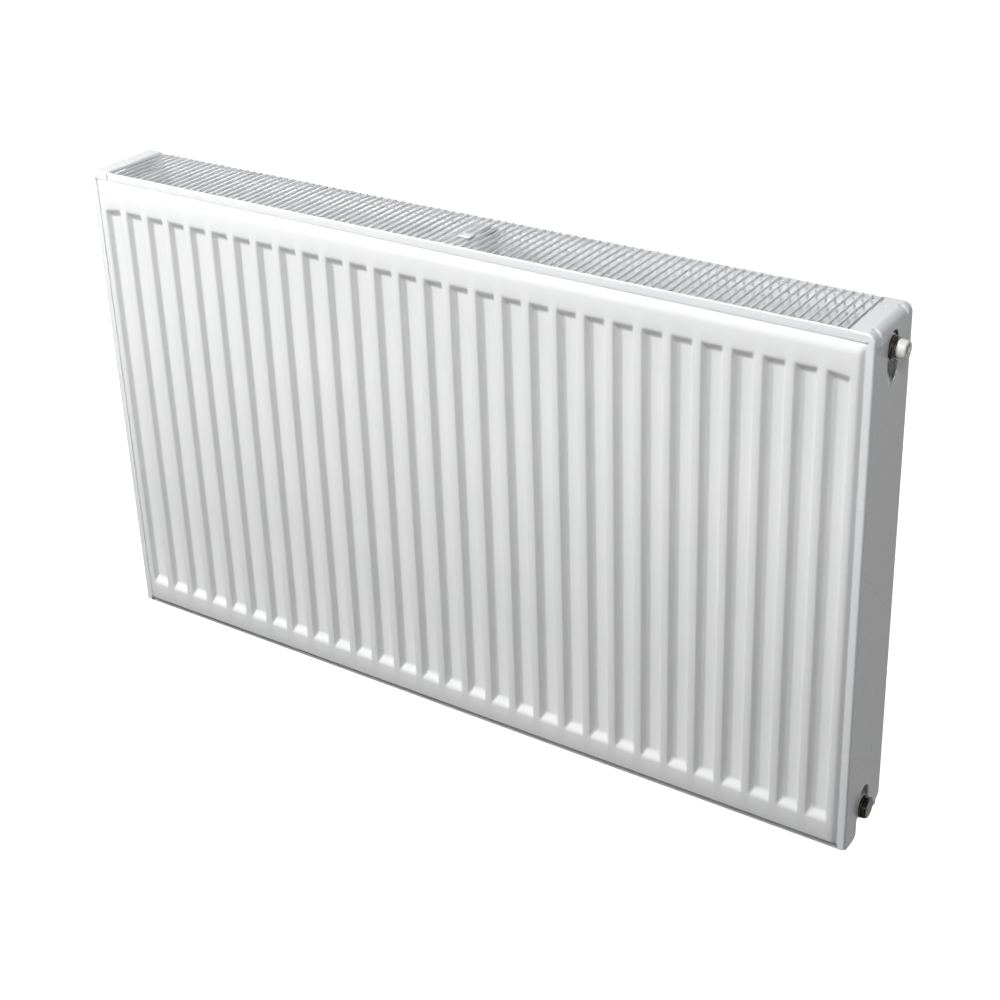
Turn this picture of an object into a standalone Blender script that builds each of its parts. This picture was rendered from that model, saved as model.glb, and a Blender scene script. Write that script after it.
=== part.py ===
"""Steel panel radiator: two water panels, two convectors, a top grille and two side panels.

Frame: X along the length, Y towards the wall, Z up. The origin is at mid-length, level with the bottom
edge, on the plane of the hanging lugs' backs. The room side of the radiator faces -Y.
"""
import math

import bmesh
import bpy
from mathutils import Matrix, Vector

MM = 0.001

# Driving sizes
LENGTH = 1000 * MM
HEIGHT = 600 * MM
DEPTH = 100 * MM  # over the outer faces of the two panels
LUG_DEPTH = 8.3 * MM  # how far the lugs stand off the rear panel
GAP = 0.3 * MM  # left between neighbouring pieces
FRONT_Y = -DEPTH - LUG_DEPTH
REAR_Y = -LUG_DEPTH
MIDDLE_Y = (FRONT_Y + REAR_Y) / 2

# Water panels
SHEET = 1.25 * MM
PRESSING = 6.35 * MM  # from a panel's outer face down to its seam and valley floors
PANEL = 2 * (PRESSING + SHEET) + GAP
VALLEYS = 29
PITCH = LENGTH / (VALLEYS + 1)
VALLEY_WIDTH = 24.5 * MM
FLANK = 4 * MM  # how far a valley's side leans
SEAM_X = 497.5 * MM
SHOULDER_X = 493.8 * MM
FACE_X = 486 * MM
FACE_LOW = 12 * MM
FACE_HIGH = 580 * MM
SEAM_LOW = 5 * MM
SEAM_HIGH = 593 * MM
SEAM_TOP = 596.2 * MM
OUTER_VALLEY = (35.5 * MM, 556.5 * MM)
INNER_VALLEY = (50 * MM, 550 * MM)
RAMP = 9 * MM  # slope at a valley's two ends

# Side connections
PORT_X = 498.5 * MM
PORT_LEVELS = {"bottom": 30 * MM, "top": 570 * MM}
PORT_RADIUS = 13 * MM
THREAD_RADIUS = 10.5 * MM
CROSS_X = 478 * MM
CROSS_RADIUS = 11.5 * MM
WATERWAY_RADIUS = 7.5 * MM

# Convectors
CONVECTOR_SHEET = 0.5 * MM
CONVECTOR_DEPTH = 30 * MM
CONVECTOR_FINS = 27
CONVECTOR_LEVELS = (48 * MM, 552 * MM)
FIN_BASE = 14 * MM
FIN_LEAN = 4 * MM

# Casing: side panels and top grille
CASING = 1.2 * MM
CASING_INSET = 3 * MM  # from the panel faces back to the casing's own faces
CASING_LIP = 10.5 * MM  # height of the front and rear lips
SIDE_INNER_X = 473.2 * MM
SIDE_LIP_X = 491.6 * MM
SIDE_BOTTOM = 1 * MM
ROLL = 10 * MM
CORNER = 2.2 * MM
WINDOW_WIDTH = 27 * MM
WINDOW_LEVELS = (531.5 * MM, 588 * MM)
NOTCH_TOP = 56.5 * MM
MOUTH_WIDTH = 34 * MM
MOUTH_TOP = 24 * MM
MOUTH_CORNER = 3 * MM
MOUTH_FLARE = 6 * MM
REAR_FOOT = 14 * MM

BLADES = 96
BLADE = 1.3 * MM
FIRST_BLADE = -472 * MM
BLADE_SPACING = 9.9 * MM
GRILLE_X = 472.7 * MM
RAIL = 2.5 * MM  # width of the grille's top strips
BLADE_LOW = SEAM_TOP + GAP
CLIP_X = (-1 * MM, 28 * MM)
CLIP_HEIGHT = 34 * MM
CLIP_SLOT_X = (22.5 * MM, 26.2 * MM)
CLIP_SLOT_Y = (FRONT_Y + 56 * MM, FRONT_Y + 79 * MM)
TAB_X = (16 * MM, 30 * MM)
TAB_Y = (FRONT_Y + 28 * MM, FRONT_Y + 40 * MM)
TAB_RISE = 2 * MM

# Plugs
SEAL_RADIUS = 11.6 * MM
SEAL_WIRE = 0.75 * MM
HEX_WIDTH = 22 * MM
SHANK_RADIUS = THREAD_RADIUS - GAP
HEAD_X = PORT_X + 2 * SEAL_WIRE + 2 * GAP

# Hanging lugs
LUG_SHEET = 3 * MM
LUG_HALF_WIDTH = 15.2 * MM
LUG_FOOT = 5.6 * MM
LUG_HEIGHT = 35 * MM
LUG_VALLEY = 11  # valleys from the middle of the panel
LUG_LEVELS = {"lower": 72.5 * MM, "upper": 522.5 * MM}

WHITE = (0.86, 0.87, 0.88)
FIN_WHITE = (0.78, 0.79, 0.80)
NICKEL = (0.42, 0.41, 0.39)
NOZZLE_WHITE = (0.88, 0.88, 0.86)
SEAL_BLACK = (0.03, 0.03, 0.03)
BRASS = (0.62, 0.48, 0.24)


def clear_scene():
    for old in list(bpy.data.objects):
        bpy.data.objects.remove(old, do_unlink=True)
    for old in list(bpy.data.collections):
        bpy.data.collections.remove(old)


def collection(name):
    made = bpy.data.collections.new(name)
    bpy.context.scene.collection.children.link(made)
    return made


clear_scene()
PARTS = collection("panel_radiator")
CUTTERS = collection("cutters")


def material(name, colour, roughness, metallic):
    made = bpy.data.materials.new(name)
    made.use_nodes = True
    shader = made.node_tree.nodes["Principled BSDF"]
    shader.inputs["Base Color"].default_value = (*colour, 1)
    shader.inputs["Roughness"].default_value = roughness
    shader.inputs["Metallic"].default_value = metallic
    return made


def finish(obj, name, colour, roughness=0.3, metallic=0.0):
    """Turns a tool object into a finished, named sub-part with its own material."""
    obj.name = name
    obj.data.name = name
    obj.data.materials.append(material(name, colour, roughness, metallic))
    PARTS.objects.link(obj)
    CUTTERS.objects.unlink(obj)
    obj.hide_render = False
    obj.display_type = "TEXTURED"
    return obj


def tool(mesh_data, name):
    """A new object among the cutters, from a bmesh that it uses up."""
    mesh = bpy.data.meshes.new(name)
    mesh_data.to_mesh(mesh)
    mesh_data.free()
    obj = bpy.data.objects.new(name, mesh)
    obj.hide_render = True
    obj.display_type = "WIRE"
    CUTTERS.objects.link(obj)
    return obj


def add_box(mesh_data, low, high):
    low, high = Vector(low), Vector(high)
    place = Matrix.Translation((low + high) / 2) @ Matrix.Diagonal((*(high - low), 1))
    return bmesh.ops.create_cube(mesh_data, size=1, matrix=place)["verts"]


def add_rod(mesh_data, start, end, radius, sides):
    start, end = Vector(start), Vector(end)
    turn = (end - start).to_track_quat("Z", "Y").to_matrix().to_4x4()
    place = Matrix.Translation((start + end) / 2) @ turn
    bmesh.ops.create_cone(
        mesh_data, cap_ends=True, segments=sides, radius1=radius, radius2=radius,
        depth=(end - start).length, matrix=place,
    )


def box(name, low, high):
    shape = bmesh.new()
    add_box(shape, low, high)
    return tool(shape, name)


def rod(name, start, end, radius, sides=20):
    shape = bmesh.new()
    add_rod(shape, start, end, radius, sides)
    return tool(shape, name)


def boolean(obj, operation, other):
    step = obj.modifiers.new(operation.lower(), "BOOLEAN")
    step.operation = operation
    step.object = other
    step.solver = "EXACT"


def solidify(obj, thickness):
    """Thickens an open surface on the side that its normals point away from."""
    step = obj.modifiers.new("sheet", "SOLIDIFY")
    step.thickness = thickness
    step.offset = -1
    step.use_even_offset = True


def turned(name, profile, origin, sides=20):
    """A shape turned about an axis along +X: its profile is a list of (radius, distance along X)."""
    shape = bmesh.new()
    points = [shape.verts.new((radius, 0, along)) for radius, along in profile]
    closed = min(radius for radius, along in profile) > 0
    for first, second in zip(points, points[1:] + points[:1] if closed else points[1:]):
        shape.edges.new((first, second))
    obj = tool(shape, name)
    obj.location = origin
    obj.rotation_euler = (0, math.pi / 2, 0)
    step = obj.modifiers.new("turn", "SCREW")
    step.axis = "Z"
    step.steps = sides
    step.render_steps = sides
    step.use_merge_vertices = True
    step.merge_threshold = 0.0001
    step.use_normal_calculate = False
    return obj


def smooth(obj):
    obj.data.shade_smooth()
    obj.data.set_sharp_from_angle(angle=math.radians(35))


# ------------------------------------------------------------------ water panels


def valley_centres():
    return [(index - (VALLEYS - 1) / 2) * PITCH for index in range(VALLEYS)]


def split_corner(shape, face):
    """Splits a quad along the diagonal through its one corner that is at another depth."""
    for corner in face.verts:
        same = [v for v in face.verts if abs(v.co.y - corner.co.y) < 1e-6]
        if len(same) == 1:
            ring = list(face.verts)
            opposite = ring[(ring.index(corner) + 2) % 4]
            bmesh.utils.face_split(face, corner, opposite)
            return


def pressed_sheet(name, face_y, outward, valley):
    """One pressed half of a water panel. outward is -1 where its outer face looks to -Y, +1 to +Y."""
    ramp_low, ramp_high = valley
    columns = [-SEAM_X, -SHOULDER_X, -FACE_X]
    floor_columns = set()
    for centre in valley_centres():
        half = VALLEY_WIDTH / 2
        first = len(columns) + 1
        columns += [centre - half, centre - half + FLANK, centre + half - FLANK, centre + half]
        floor_columns |= {first, first + 1}
    columns += [FACE_X, SHOULDER_X, SEAM_X]
    rows = [0, SEAM_LOW, FACE_LOW, ramp_low, ramp_low + RAMP]
    rows += [ramp_high - RAMP, ramp_high, FACE_HIGH, SEAM_HIGH, SEAM_TOP]
    floor_rows = {4, 5}

    shape = bmesh.new()
    across, up = len(columns) - 1, len(rows) - 1
    bmesh.ops.create_grid(shape, x_segments=across, y_segments=up, size=0.5)
    for vert in shape.verts:
        i = round((vert.co.x + 0.5) * across)
        j = round((vert.co.y + 0.5) * up)
        on_face = 2 <= i <= across - 2 and 2 <= j <= up - 2
        on_floor = i in floor_columns and j in floor_rows
        depth = 0 if on_face and not on_floor else PRESSING
        vert.co = (columns[i], face_y - outward * depth, rows[j])
    corners = [vert for vert in shape.verts if len(vert.link_faces) == 1]
    for corner in corners:
        ends = [edge.other_vert(corner) for edge in corner.link_edges]
        bmesh.utils.face_split(corner.link_faces[0], *ends)
    bmesh.ops.delete(shape, geom=corners, context="VERTS")
    for face in list(shape.faces):
        split_corner(shape, face)
    shape.normal_update()

    def kept(edge):
        """Lines that stay, so that every flat face is whole: valley ends, and the seam's corners."""
        first, second = (vert.co for vert in edge.verts)
        low, high = sorted((first.z, second.z))
        if high - low > 1e-6:
            on_seam_strip = high < SEAM_LOW + 1e-6 or low > SEAM_HIGH - 1e-6
            return on_seam_strip and abs(abs(first.x) - SHOULDER_X) < 1e-6
        beyond = max(abs(first.x), abs(second.x)) > SHOULDER_X + 1e-6
        ends = (SEAM_LOW, SEAM_HIGH) if beyond else valley
        return min(abs(low - end) for end in ends) < 1e-6

    flat = []
    for edge in shape.edges:
        if len(edge.link_faces) == 2 and not kept(edge):
            first, second = edge.link_faces
            if abs(first.normal.dot(second.normal)) > 0.999999:
                flat.append(edge)
    bmesh.ops.dissolve_edges(shape, edges=flat, use_verts=True)
    shape.normal_update()
    largest = max(shape.faces, key=lambda face: face.calc_area())
    if largest.normal.y * outward < 0:
        bmesh.ops.reverse_faces(shape, faces=shape.faces)
    obj = tool(shape, name)
    solidify(obj, SHEET)
    return obj


def waterway_holes(name, low_y, high_y):
    """Four rods that cut the holes where the tees feed a panel's inner sheet."""
    shape = bmesh.new()
    for x in (-CROSS_X, CROSS_X):
        for z in PORT_LEVELS.values():
            add_rod(shape, (x, low_y, z), (x, high_y, z), WATERWAY_RADIUS, 12)
    return tool(shape, name)


def make_panels():
    front = pressed_sheet("front_panel_front_sheet", FRONT_Y, -1, OUTER_VALLEY)
    finish(front, "front_panel_front_sheet", WHITE)
    inner = FRONT_Y + PANEL
    back = pressed_sheet("front_panel_back_sheet", inner, 1, INNER_VALLEY)
    boolean(back, "DIFFERENCE", waterway_holes("front_waterways", inner - PANEL / 2, inner + SHEET))
    finish(back, "front_panel_back_sheet", WHITE)

    inner = REAR_Y - PANEL
    front = pressed_sheet("rear_panel_front_sheet", inner, -1, INNER_VALLEY)
    boolean(front, "DIFFERENCE", waterway_holes("rear_waterways", inner - SHEET, inner + PANEL / 2))
    finish(front, "rear_panel_front_sheet", WHITE)
    back = pressed_sheet("rear_panel_back_sheet", REAR_Y, 1, OUTER_VALLEY)
    finish(back, "rear_panel_back_sheet", WHITE)


# ------------------------------------------------------------------ convectors and tees


def convector(name, base_y, inward):
    """A folded sheet of upright fins that stands on a panel's inner face."""
    half_base = FIN_BASE / 2
    columns = []
    for index in range(CONVECTOR_FINS):
        centre = (index - (CONVECTOR_FINS - 1) / 2) * PITCH
        columns.append((centre - half_base - FIN_LEAN, CONVECTOR_DEPTH))
        columns.append((centre - half_base, 0))
        columns.append((centre + half_base, 0))
        columns.append((centre + half_base + FIN_LEAN, CONVECTOR_DEPTH))
    shape = bmesh.new()
    across = len(columns) - 1
    bmesh.ops.create_grid(shape, x_segments=across, y_segments=1, size=0.5)
    for vert in shape.verts:
        x, depth = columns[round((vert.co.x + 0.5) * across)]
        level = CONVECTOR_LEVELS[round(vert.co.y + 0.5)]
        vert.co = (x, base_y + inward * depth, level)
    shape.normal_update()
    base = min(shape.faces, key=lambda face: abs(face.calc_center_median().y - base_y))
    if base.normal.y * inward > 0:
        bmesh.ops.reverse_faces(shape, faces=shape.faces)
    obj = tool(shape, name)
    solidify(obj, CONVECTOR_SHEET)
    return finish(obj, name, FIN_WHITE, 0.45)


def tee(name, side, level):
    """The welded tee that joins both panels and carries one side connection."""
    low, high = FRONT_Y + PANEL + GAP, REAR_Y - PANEL - GAP
    x = side * CROSS_X
    body = rod(name, (x, low, level), (x, high, level), CROSS_RADIUS)
    start = (x, MIDDLE_Y, level)
    boss = rod(name + "_boss", start, (side * PORT_X, MIDDLE_Y, level), PORT_RADIUS)
    boolean(body, "UNION", boss)
    waterway = rod(name + "_way", (x, low - SHEET, level), (x, high + SHEET, level), WATERWAY_RADIUS, 16)
    boolean(body, "DIFFERENCE", waterway)
    socket_start = (side * (CROSS_X + 3 * MM), MIDDLE_Y, level)
    socket_end = (side * (PORT_X + SHEET), MIDDLE_Y, level)
    boolean(body, "DIFFERENCE", rod(name + "_socket", socket_start, socket_end, THREAD_RADIUS))
    smooth(body)
    return finish(body, name, WHITE)


# ------------------------------------------------------------------ side panels


def edges_along(shape, axis, tests):
    """The edges that run along one axis and whose middle passes every (axis, value) test."""
    found = []
    for edge in shape.edges:
        run = edge.verts[1].co - edge.verts[0].co
        middle = (edge.verts[0].co + edge.verts[1].co) / 2
        along = abs(run[axis]) > 0.99 * run.length
        if along and all(abs(middle[a] - value) < 1e-5 for a, value in tests):
            found.append(edge)
    return found


def side_shell(side):
    """The open box of a side panel: outer face, top with a wide roll, front and rear lips."""
    low_y, high_y = FRONT_Y + CASING_INSET, REAR_Y - CASING_INSET
    outer = LENGTH / 2
    shape = bmesh.new()
    add_box(shape, (SIDE_INNER_X, low_y, SIDE_BOTTOM), (outer, high_y, HEIGHT))
    shape.faces.ensure_lookup_table()
    open_faces = [f for f in shape.faces if f.normal.x < -0.9 or f.normal.z < -0.9]
    bmesh.ops.delete(shape, geom=open_faces, context="FACES")
    roll = edges_along(shape, 1, [(0, outer), (2, HEIGHT)])
    bmesh.ops.bevel(shape, geom=roll, offset=ROLL, segments=6, affect="EDGES", profile=0.5)
    rim = []
    for edge in shape.edges:
        if len(edge.link_faces) == 2 and edge.calc_face_angle(0) > math.radians(60):
            rim.append(edge)
    bmesh.ops.bevel(shape, geom=rim, offset=CORNER, segments=2, affect="EDGES", profile=0.5)
    if side < 0:
        bmesh.ops.scale(shape, vec=(-1, 1, 1), verts=shape.verts)
        bmesh.ops.reverse_faces(shape, faces=shape.faces)
    return tool(shape, "side_shell")


def rounded_slot(name, side, low_z, high_z, width, radius, segments):
    """A cutter through a side panel's outer face, with its upright ends rounded."""
    shape = bmesh.new()
    low_x, high_x = sorted((side * (SIDE_LIP_X + CASING), side * (LENGTH / 2 + CASING)))
    half = width / 2
    add_box(shape, (low_x, MIDDLE_Y - half, low_z), (high_x, MIDDLE_Y + half, high_z))
    corners = edges_along(shape, 0, [])
    bmesh.ops.bevel(
        shape, geom=corners, offset=radius, segments=segments, affect="EDGES", profile=0.5
    )
    return tool(shape, name)


def foot_cutter(name, side):
    """A cutter for a side panel's mouth, which flares at the foot, and for its shorter rear foot."""
    half = MOUTH_WIDTH / 2
    high_y = REAR_Y - MIDDLE_Y
    outline = [(-half - MOUTH_FLARE, -REAR_FOOT), (-half - MOUTH_FLARE, SIDE_BOTTOM)]
    outline += [(-half, SIDE_BOTTOM + MOUTH_FLARE)]
    outline += [(-half, MOUTH_TOP - MOUTH_CORNER), (MOUTH_CORNER - half, MOUTH_TOP)]
    outline += [(half - MOUTH_CORNER, MOUTH_TOP), (half, MOUTH_TOP - MOUTH_CORNER)]
    outline += [(half, REAR_FOOT), (high_y, REAR_FOOT), (high_y, -REAR_FOOT)]
    low_x, high_x = sorted((side * (SIDE_LIP_X - CASING), side * (LENGTH / 2 + CASING)))
    shape = bmesh.new()
    verts = [shape.verts.new((low_x, MIDDLE_Y + y, z)) for y, z in outline]
    face = shape.faces.new(verts)
    grown = bmesh.ops.extrude_face_region(shape, geom=[face])["geom"]
    moved = [part for part in grown if isinstance(part, bmesh.types.BMVert)]
    bmesh.ops.translate(shape, vec=(high_x - low_x, 0, 0), verts=moved)
    bmesh.ops.recalc_face_normals(shape, faces=shape.faces)
    return tool(shape, name)


def side_panel(name, side):
    obj = side_shell(side)
    solidify(obj, CASING)
    low_x, high_x = sorted((side * (SIDE_INNER_X - CASING), side * SIDE_LIP_X))
    behind_lips = box(
        name + "_lips", (low_x, FRONT_Y, -CASING), (high_x, REAR_Y, HEIGHT - CASING_LIP)
    )
    boolean(obj, "DIFFERENCE", behind_lips)
    round_end = WINDOW_WIDTH / 2 - 0.05 * MM
    window = rounded_slot(name + "_window", side, *WINDOW_LEVELS, WINDOW_WIDTH, round_end, 8)
    boolean(obj, "DIFFERENCE", window)
    notch = rounded_slot(name + "_notch", side, -NOTCH_TOP, NOTCH_TOP, WINDOW_WIDTH, round_end, 8)
    boolean(obj, "DIFFERENCE", notch)
    boolean(obj, "DIFFERENCE", foot_cutter(name + "_foot", side))
    return finish(obj, name, WHITE)


# ------------------------------------------------------------------ top grille


def blade_place(index):
    """The middle of a grille blade along the length."""
    return FIRST_BLADE + index * BLADE_SPACING


def top_grille():
    """Two L-shaped lips along the length, joined by shallow blades over the panels' seams, and a small tab."""
    low_y, high_y = FRONT_Y + CASING_INSET, REAR_Y - CASING_INSET
    rails = bmesh.new()
    add_box(rails, (-GRILLE_X, low_y, HEIGHT - CASING_LIP), (GRILLE_X, low_y + RAIL, HEIGHT))
    add_box(rails, (-GRILLE_X, high_y - RAIL, HEIGHT - CASING_LIP), (GRILLE_X, high_y, HEIGHT))
    grille = tool(rails, "top_grille")
    hollows = bmesh.new()
    under = BLADE_LOW + GAP
    add_box(hollows, (-LENGTH, low_y + CASING, 0), (LENGTH, low_y + 2 * RAIL, under))
    add_box(hollows, (-LENGTH, high_y - 2 * RAIL, 0), (LENGTH, high_y - CASING, under))
    boolean(grille, "DIFFERENCE", tool(hollows, "rail_hollows"))

    bars = bmesh.new()
    for index in range(BLADES):
        x = blade_place(index)
        add_box(
            bars, (x - BLADE / 2, low_y + RAIL / 2, BLADE_LOW),
            (x + BLADE / 2, high_y - RAIL / 2, HEIGHT - GAP / 2),
        )
    boolean(grille, "UNION", tool(bars, "blades"))
    tab_low = (TAB_X[0], TAB_Y[0], HEIGHT - CASING)
    tab = box("grille_tab", tab_low, (TAB_X[1], TAB_Y[1], HEIGHT + TAB_RISE))
    boolean(grille, "UNION", tab)
    return finish(grille, "top_grille", WHITE)


def grille_clip():
    """The bridge between the panels, under the middle of the grille, that its tab clips into."""
    low_x, high_x = CLIP_X
    low_y, high_y = FRONT_Y + PANEL + GAP, REAR_Y - PANEL - GAP
    top = BLADE_LOW - GAP
    leg = top - CLIP_HEIGHT
    clip = box("grille_clip", (low_x, low_y, leg), (high_x, high_y, top))
    inside = box(
        "clip_inside", (low_x - CASING, low_y + CASING, leg - CASING),
        (high_x + CASING, high_y - CASING, top - CASING),
    )
    boolean(clip, "DIFFERENCE", inside)
    slot = box(
        "clip_slot", (CLIP_SLOT_X[0], CLIP_SLOT_Y[0], top - 2 * CASING),
        (CLIP_SLOT_X[1], CLIP_SLOT_Y[1], top + CASING),
    )
    boolean(clip, "DIFFERENCE", slot)
    return finish(clip, "grille_clip", WHITE)


# ------------------------------------------------------------------ plugs and air vent


def seal(name, level):
    bpy.ops.mesh.primitive_torus_add(
        major_radius=SEAL_RADIUS, minor_radius=SEAL_WIRE, major_segments=20, minor_segments=6,
        location=(PORT_X + GAP + SEAL_WIRE, MIDDLE_Y, level), rotation=(0, math.pi / 2, 0),
    )
    obj = bpy.context.object
    for owner in list(obj.users_collection):
        owner.objects.unlink(obj)
    CUTTERS.objects.link(obj)
    obj.data.shade_smooth()
    return finish(obj, name, SEAL_BLACK, 0.6)


def hex_head(name, start, length, level):
    corner = HEX_WIDTH / 2 / math.cos(math.pi / 6)
    return rod(name, (start, MIDDLE_Y, level), (start + length, MIDDLE_Y, level), corner, 6)


def blanking_plug(level):
    """Solid plug: threaded shank, collar over the seal and a hexagon with a chamfered face."""
    base = (PORT_X, MIDDLE_Y, level)
    collar = HEAD_X - PORT_X
    shank = [(0, collar + 1 * MM), (12.4 * MM, collar + 1 * MM), (12.4 * MM, collar)]
    shank += [(SHANK_RADIUS, collar), (SHANK_RADIUS, -12 * MM), (0, -12 * MM)]
    plug = turned("blanking_plug", shank, base)
    boolean(plug, "UNION", hex_head("plug_hex", HEAD_X + 0.5 * MM, 6 * MM, level))
    end = collar + 6.5 * MM
    chamfer = [(0, end), (10.6 * MM, end), (14.5 * MM, end - 2.2 * MM), (14.5 * MM, -15 * MM), (0, -15 * MM)]
    boolean(plug, "INTERSECT", turned("plug_chamfer", chamfer, base))
    return finish(plug, "blanking_plug", NICKEL, 0.25, 1.0)


def vent_plug(level):
    """Plug with a hexagon and a hollow neck that the nozzle turns on."""
    base = (PORT_X, MIDDLE_Y, level)
    collar = HEAD_X - PORT_X
    neck = collar + 12 * MM
    outline = [(5.2 * MM, neck), (5.2 * MM, collar + 2 * MM), (12.4 * MM, collar + 1 * MM)]
    outline += [(12.4 * MM, collar), (SHANK_RADIUS, collar), (SHANK_RADIUS, -12 * MM)]
    outline += [(1.5 * MM, -12 * MM), (1.5 * MM, collar), (3.4 * MM, collar + 2 * MM), (3.4 * MM, neck)]
    plug = turned("vent_plug", outline, base)
    head = hex_head("vent_hex", HEAD_X + 0.5 * MM, 4 * MM, level)
    bore_start = (PORT_X, MIDDLE_Y, level)
    bore_end = (PORT_X + neck, MIDDLE_Y, level)
    boolean(head, "DIFFERENCE", rod("vent_hex_bore", bore_start, bore_end, 4.2 * MM))
    boolean(plug, "UNION", head)
    return finish(plug, "vent_plug", NICKEL, 0.25, 1.0)


def vent_nozzle(level):
    """White ring that turns on the neck and points the outlet."""
    start = HEAD_X - PORT_X + 4.8 * MM
    end = start + 9.6 * MM
    ring = [(9.2 * MM, end), (10 * MM, end - 0.8 * MM), (10 * MM, start + 0.6 * MM), (9.4 * MM, start)]
    ring += [(5.5 * MM, start), (5.5 * MM, end - 1.6 * MM), (4.2 * MM, end - 1.2 * MM), (4.2 * MM, end)]
    nozzle = turned("vent_nozzle", ring, (PORT_X, MIDDLE_Y, level))
    middle = PORT_X + (start + end) / 2
    outlet_start = (middle, MIDDLE_Y, level - 7 * MM)
    outlet_end = (middle, MIDDLE_Y, level - 12 * MM)
    boolean(nozzle, "DIFFERENCE", rod("outlet", outlet_start, outlet_end, 1.3 * MM, 12))
    return finish(nozzle, "vent_nozzle", NOZZLE_WHITE, 0.35)


def bleed_screw(level):
    """Small screw with a square end, in the vent plug's neck."""
    start = HEAD_X - PORT_X + 4 * MM
    head = HEAD_X - PORT_X + 9.6 * MM
    stem = [(0, head), (3.1 * MM, head), (3.1 * MM, start + 2 * MM), (0, start)]
    screw = turned("bleed_screw", stem, (PORT_X, MIDDLE_Y, level), 20)
    half = 1.7 * MM
    square = box(
        "bleed_square", (PORT_X + head - half, MIDDLE_Y - half, level - half),
        (PORT_X + head + 2.8 * MM, MIDDLE_Y + half, level + half),
    )
    boolean(screw, "UNION", square)
    return finish(screw, "bleed_screw", BRASS, 0.3, 1.0)


# ------------------------------------------------------------------ hanging lugs


def lug(name, x, level):
    """A strap that bridges one valley of the rear panel, with its feet on the ridges beside it."""
    back = -LUG_SHEET
    inner = LUG_HALF_WIDTH - LUG_SHEET
    foot = REAR_Y + GAP
    reach = LUG_HALF_WIDTH + LUG_FOOT
    half = [(0, 0), (LUG_HALF_WIDTH, 0), (LUG_HALF_WIDTH, foot + LUG_SHEET), (reach, foot + LUG_SHEET)]
    half += [(reach, foot), (inner, foot), (inner, back), (0, back)]
    outline = half[1:-1] + [(-px, py) for px, py in reversed(half[1:-1])]
    curve = bpy.data.curves.new(name, "CURVE")
    curve.dimensions = "2D"
    curve.fill_mode = "BOTH"
    curve.extrude = LUG_HEIGHT / 2
    spline = curve.splines.new("POLY")
    spline.points.add(len(outline) - 1)
    for point, (px, py) in zip(spline.points, outline):
        point.co = (px, py, 0, 1)
    spline.use_cyclic_u = True
    flat = bpy.data.objects.new(name, curve)
    CUTTERS.objects.link(flat)
    flat.location = (x, 0, level)
    return finish(flat, name, WHITE)


# ------------------------------------------------------------------ the radiator

make_panels()
convector("front_convector", FRONT_Y + PANEL + GAP, 1)
convector("rear_convector", REAR_Y - PANEL - GAP, -1)
for place, port_level in PORT_LEVELS.items():
    tee(place + "_left_tee", -1, port_level)
    tee(place + "_right_tee", 1, port_level)
side_panel("left_side_panel", -1)
side_panel("right_side_panel", 1)
top_grille()
grille_clip()
vent_plug(PORT_LEVELS["top"])
seal("vent_plug_seal", PORT_LEVELS["top"])
vent_nozzle(PORT_LEVELS["top"])
bleed_screw(PORT_LEVELS["top"])
blanking_plug(PORT_LEVELS["bottom"])
seal("blanking_plug_seal", PORT_LEVELS["bottom"])
for place, lug_level in LUG_LEVELS.items():
    lug(place + "_left_lug", -LUG_VALLEY * PITCH, lug_level)
    lug(place + "_right_lug", LUG_VALLEY * PITCH, lug_level)
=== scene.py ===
"""Looks of the steel panel radiator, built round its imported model.

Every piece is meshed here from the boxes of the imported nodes: pressed sheets with rounded bends, covers with
rolled edges, blades, lugs and turned plugs. Frame: X along the length, Y to the wall, Z up, metres.
"""

import math

import bmesh
import bpy
from mathutils import Matrix, Vector


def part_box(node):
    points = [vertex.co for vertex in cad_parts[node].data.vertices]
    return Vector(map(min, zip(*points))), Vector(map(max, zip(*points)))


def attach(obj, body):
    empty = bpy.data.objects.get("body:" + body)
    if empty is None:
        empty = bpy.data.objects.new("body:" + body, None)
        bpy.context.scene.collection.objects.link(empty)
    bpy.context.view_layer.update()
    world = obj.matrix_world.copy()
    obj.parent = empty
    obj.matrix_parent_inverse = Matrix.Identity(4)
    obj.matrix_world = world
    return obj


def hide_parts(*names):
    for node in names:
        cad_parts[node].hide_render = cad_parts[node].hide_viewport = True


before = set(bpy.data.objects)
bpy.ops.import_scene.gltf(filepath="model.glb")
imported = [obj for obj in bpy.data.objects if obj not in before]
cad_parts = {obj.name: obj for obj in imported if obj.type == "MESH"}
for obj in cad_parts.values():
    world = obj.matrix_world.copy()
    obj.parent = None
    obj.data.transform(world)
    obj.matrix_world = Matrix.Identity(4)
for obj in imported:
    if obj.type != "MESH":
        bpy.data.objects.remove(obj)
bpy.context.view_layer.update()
MM = 0.001

# ------------------------------------------------------------------ sizes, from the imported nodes

FRONT_LOW, FRONT_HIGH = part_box("front_panel_front_sheet")
REAR_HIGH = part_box("rear_panel_back_sheet")[1]
SIDE_LOW, SIDE_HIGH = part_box("right_side_panel")
GRILLE_LOW, GRILLE_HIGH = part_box("top_grille")
CONVECTOR_LOW, CONVECTOR_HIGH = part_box("front_convector")
CLIP_LOW, CLIP_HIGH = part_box("grille_clip")
TOP_TEE_LOW, TOP_TEE_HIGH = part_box("top_right_tee")
BOTTOM_TEE_LOW, BOTTOM_TEE_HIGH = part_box("bottom_right_tee")

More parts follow.
